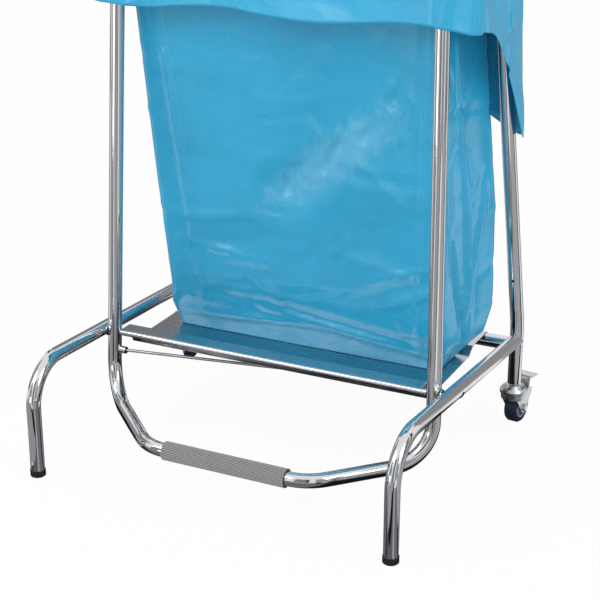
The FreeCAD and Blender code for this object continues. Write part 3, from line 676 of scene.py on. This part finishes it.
class BAGHOLDER_OT_film_bag(bpy.types.Operator):
    """Hang the film bag from both hoops, with its base on the tray"""
    bl_idname = "bagholder.film_bag"
    bl_label = "Film bag"

    def execute(self, context):
        bag = context.scene.bagholder_bag
        piece = bpy.data.objects.new("film_bag", film_mesh(film_rings(bag)))
        context.scene.collection.objects.link(piece)
        for face in piece.data.polygons:
            face.use_smooth = True
        piece.data.materials.append(FINISH_OF_SLOT["blue_film"])
        skin = piece.modifiers.new("film", "SOLIDIFY")
        skin.thickness = bag.film
        skin.offset = 0.0
        context.view_layer.objects.active = piece
        piece.select_set(True)
        bpy.ops.object.modifier_apply(modifier=skin.name)
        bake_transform(piece)
        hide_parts("bag")
        return {"FINISHED"}


# grey walls with dark strips and white gaps between them: name, turn in degrees, width in metres, shade
FLAGS = (("flag_a", 8, 1.7, "#8C8C8E"), ("flag_b", 21, 0.35, "#1C1C1E"), ("flag_c", 48, 1.9, "#A2A2A4"),
         ("flag_d", 63, 0.3, "#242426"), ("flag_e", 96, 2.2, "#8E8E90"), ("flag_f", 118, 0.5, "#202022"),
         ("flag_g", 158, 2.3, "#9A9A9C"), ("flag_h", 178, 0.4, "#1E1E20"), ("flag_i", 214, 2.2, "#8A8A8C"),
         ("flag_j", 234, 0.4, "#222224"), ("flag_k", 268, 2.0, "#9C9C9E"), ("flag_l", 285, 0.35, "#1C1C1E"),
         ("flag_m", 322, 1.9, "#909092"), ("flag_n", 339, 0.3, "#202022"))
FLAG_AWAY = 4.2
FLAG_MIDDLE = 1.6
FLAG_TALL = 5.2
# wedges of cloth on the ground round the stand: name, start and width in degrees, shade
GROUND_FLAGS = (("ground_a", 352, 44, "#ABABAD"), ("ground_b", 36, 7, "#161618"),
                ("ground_c", 62, 46, "#B4B4B6"), ("ground_d", 108, 9, "#1A1A1C"),
                ("ground_e", 136, 50, "#A4A4A6"), ("ground_f", 186, 8, "#19191B"),
                ("ground_g", 212, 52, "#AEAEB1"), ("ground_h", 264, 9, "#171719"),
                ("ground_i", 292, 40, "#A2A2A4"), ("ground_j", 332, 8, "#151517"))
GROUND_RING = (0.5, 5.0)
GROUND_LIFT = 0.004
# wedges round each foot: start and width in degrees, shade
FOOT_FLAGS = ((-153, 43, "#1A1A1C"), (-110, 50, "#77777A"), (-25, 65, "#6A6A6D"), (40, 20, "#B4B4B6"),
              (60, 50, "#78787B"), (110, 25, "#2A2A2C"), (135, 30, "#A0A0A2"), (165, 42, "#161618"))
FOOT_RING = (0.02, 0.5)
FOOT_LIFT = 0.003
# the dark round cloth under the stand, which the undersides of its tubes mirror
UNDER_RING = (0.0, 0.5)
UNDER_LIFT = 0.002
UNDER_SHADE = "#464649"
# a low bright strip to the left of the camera, which the crumpled film mirrors
SPARKLE_TURN = 333
SPARKLE_AWAY = 3.0
SPARKLE_WIDTH = 0.8
SPARKLE_TALL = 0.5
SPARKLE_STRENGTH = 3.2
# soft boxes: name, place, side in metres and share of the key power; they aim at the bag
LAMPS = (("key_softbox", (-2.4, -3.2, 3.4), 2.6, 1.0), ("fill_softbox", (3.2, -1.2, 2.6), 2.0, 0.4))
LAMP_AIM = (0, 0.1, 0.5)
FLOOR_DROP = 0.0005
# how much of what the eye sees of the floor is plain white; the rest takes the stand's shadow
FLOOR_GLOW = 0.95
# the camera: its place from the axle on the ground in metres, its turn and tilt in degrees
VIEW_PLACE = (1.1024, -2.1439, 1.2452)
VIEW_TURN = 25.851
VIEW_TILT = 21.344
VIEW_LENS = 90.868


def on_ground(turn, away, middle=(0, 0)):
    """The place that lies away metres from the middle, turned from the front in degrees."""
    angle = math.radians(turn)
    return middle[0] + away * math.sin(angle), middle[1] - away * math.cos(angle)


class BAGHOLDER_OT_stage(bpy.types.Operator):
    """Set the camera, the lamps and the pale floor"""
    bl_idname = "bagholder.stage"
    bl_label = "Stage"

    def execute(self, context):
        sizes = context.scene.bagholder_stage
        scene = context.scene
        scene.view_settings.view_transform = "Standard"
        bpy.ops.mesh.primitive_plane_add(size=sizes.floor_size, location=(0, 0, -FLOOR_DROP))
        floor = context.object
        floor.name = "studio_floor"
        floor.data.materials.append(self.paper(sizes))
        self.sky(scene, sizes)
        for name, place, size, share in LAMPS:
            self.lamp(scene, name, place, size, sizes.key_power * share)
        # what only mirrors see draws the lines along the chrome
        for name, turn, width, shade in FLAGS:
            self.flag(context, name, turn, width, shade)
        for name, turn, width, shade in GROUND_FLAGS:
            self.ground_flag(scene, name, turn, width, shade, GROUND_RING, GROUND_LIFT)
        for side in ("left", "right"):
            low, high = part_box("foot_cap_" + side)
            for index, (turn, width, shade) in enumerate(FOOT_FLAGS):
                self.ground_flag(scene, f"foot_{side}_{index}", turn, width, shade,
                                 FOOT_RING, FOOT_LIFT, (low + high) / 2)
        self.ground_flag(scene, "under_stand", 0, 360, UNDER_SHADE, UNDER_RING, UNDER_LIFT)
        self.flag(context, "sparkle", SPARKLE_TURN, SPARKLE_WIDTH, "#FFFFFF", SPARKLE_AWAY,
                  SPARKLE_TALL / 2, SPARKLE_TALL, SPARKLE_STRENGTH)
        self.viewpoint(scene)
        return {"FINISHED"}

    def paper(self, sizes):
        """Matt white paper that stays white to the eye and in mirrors, with the stand's soft shadow."""
        material = bpy.data.materials.new("matt_white_paper")
        tree = empty_tree(material)
        matt = add_node(tree, "ShaderNodeBsdfDiffuse", inputs={"Color": hex_colour(sizes.floor_colour)})
        glow = add_node(tree, "ShaderNodeEmission", inputs={"Color": (1, 1, 1, 1), "Strength": 1.0})
        mixed = add_node(tree, "ShaderNodeMixShader", inputs={
            "Fac": self.seen(tree, FLOOR_GLOW), 1: matt.outputs[0], 2: glow.outputs[0]})
        add_node(tree, "ShaderNodeOutputMaterial", inputs={"Surface": mixed.outputs[0]})
        return material

    def seen(self, tree, share):
        """Share for rays from the eye, from mirrors and through clear pieces."""
        path = add_node(tree, "ShaderNodeLightPath")
        mirror = add_node(tree, "ShaderNodeMath", {"operation": "MAXIMUM"}, {
            0: path.outputs["Is Camera Ray"], 1: path.outputs["Is Glossy Ray"]})
        clear = add_node(tree, "ShaderNodeMath", {"operation": "MAXIMUM"}, {
            0: mirror.outputs[0], 1: path.outputs["Is Transmission Ray"]})
        scaled = add_node(tree, "ShaderNodeMath", {"operation": "MULTIPLY"}, {
            0: clear.outputs[0], 1: share})
        return scaled.outputs[0]

    def sky(self, scene, sizes):
        """Even soft light, white where it is seen."""
        world = bpy.data.worlds.new("studio_sky")
        scene.world = world
        tree = empty_tree(world)
        soft = add_node(tree, "ShaderNodeBackground", inputs={
            "Color": (1, 1, 1, 1), "Strength": sizes.world_strength})
        white = add_node(tree, "ShaderNodeBackground", inputs={"Color": (1, 1, 1, 1), "Strength": 1.0})
        mixed = add_node(tree, "ShaderNodeMixShader", inputs={
            "Fac": self.seen(tree, 1.0), 1: soft.outputs[0], 2: white.outputs[0]})
        add_node(tree, "ShaderNodeOutputWorld", inputs={"Surface": mixed.outputs[0]})

    def lamp(self, scene, name, place, size, power):
        """A square soft box that aims at the bag."""
        data = bpy.data.lights.new(name, "AREA")
        data.size = size
        data.energy = power
        lamp = bpy.data.objects.new(name, data)
        lamp.location = place
        lamp.rotation_euler = (Vector(LAMP_AIM) - Vector(place)).to_track_quat("-Z", "Y").to_euler()
        scene.collection.objects.link(lamp)

    def flag(self, context, name, turn, width, shade, away=FLAG_AWAY, middle=FLAG_MIDDLE,
             tall=FLAG_TALL, strength=1.0):
        """An upright wall of grey cloth that faces the stand."""
        bpy.ops.mesh.primitive_plane_add(size=1, location=(*on_ground(turn, away), middle))
        flag = context.object
        flag.name = name
        flag.scale = (width, tall, 1)
        flag.rotation_euler = (math.radians(90), 0, math.radians(turn))
        self.mirror_only(flag, shade, strength)

    def ground_flag(self, scene, name, turn, width, shade, ring, lift, middle=(0, 0)):
        """A wedge of grey cloth on the ground, which upright tubes mirror as a line."""
        steps = max(1, round(width / 20))
        corners = []
        for away, order in ((ring[0], range(steps + 1)), (ring[1], range(steps, -1, -1))):
            for step in order:
                corners.append((*on_ground(turn + width * step / steps, away, middle), lift))
        data = bpy.data.meshes.new(name)
        data.from_pydata(corners, [], [tuple(range(len(corners)))])
        flag = bpy.data.objects.new(name, data)
        scene.collection.objects.link(flag)
        self.mirror_only(flag, shade)

    def mirror_only(self, flag, shade, strength=1.0):
        """Cloth of one shade that only mirrors see."""
        material = bpy.data.materials.new(flag.name + "_cloth")
        tree = empty_tree(material)
        cloth = add_node(tree, "ShaderNodeEmission", inputs={
            "Color": hex_colour(shade), "Strength": strength})
        add_node(tree, "ShaderNodeOutputMaterial", inputs={"Surface": cloth.outputs[0]})
        flag.data.materials.append(material)
        for seen_by in ("visible_camera", "visible_diffuse", "visible_shadow", "visible_transmission"):
            setattr(flag, seen_by, False)

    def viewpoint(self, scene):
        """The photograph's view: from the front right, looking down at the tray."""
        data = bpy.data.cameras.new("view_camera")
        data.sensor_width = 36.0
        data.lens = VIEW_LENS
        camera = bpy.data.objects.new("view_camera", data)
        camera.location = (AXLE.x + VIEW_PLACE[0], AXLE.y + VIEW_PLACE[1], VIEW_PLACE[2])
        camera.rotation_euler = (math.radians(90 - VIEW_TILT), 0, math.radians(VIEW_TURN))
        scene.collection.objects.link(camera)
        scene.camera = camera


class BAGHOLDER_PT_panel(bpy.types.Panel):
    """Bag holder pieces"""
    bl_idname = "BAGHOLDER_PT_panel"
    bl_label = "Bag holder"
    bl_space_type = "VIEW_3D"
    bl_region_type = "UI"
    bl_category = "Bag holder"

    def draw(self, context):
        for kind in STEPS:
            self.layout.operator(kind.bl_idname)
        scene = context.scene
        for group in (scene.bagholder_bag, scene.bagholder_metal, scene.bagholder_stage):
            box = self.layout.box()
            for name in group.__annotations__:
                box.prop(group, name)


STEPS = (BAGHOLDER_OT_finishes, BAGHOLDER_OT_film_bag, BAGHOLDER_OT_stage)
CLASSES = (BagSizes, MetalFinish, StageSizes) + STEPS + (BAGHOLDER_PT_panel,)


def register():
    for kind in CLASSES:
        bpy.utils.register_class(kind)
    bpy.types.Scene.bagholder_bag = bpy.props.PointerProperty(type=BagSizes)
    bpy.types.Scene.bagholder_metal = bpy.props.PointerProperty(type=MetalFinish)
    bpy.types.Scene.bagholder_stage = bpy.props.PointerProperty(type=StageSizes)


def unregister():
    del bpy.types.Scene.bagholder_stage
    del bpy.types.Scene.bagholder_metal
    del bpy.types.Scene.bagholder_bag
    for kind in reversed(CLASSES):
        bpy.utils.unregister_class(kind)


def main():
    register()
    bpy.ops.bagholder.finishes()
    bpy.ops.bagholder.film_bag()
    bpy.ops.bagholder.stage()


if __name__ == "__main__":
    main()
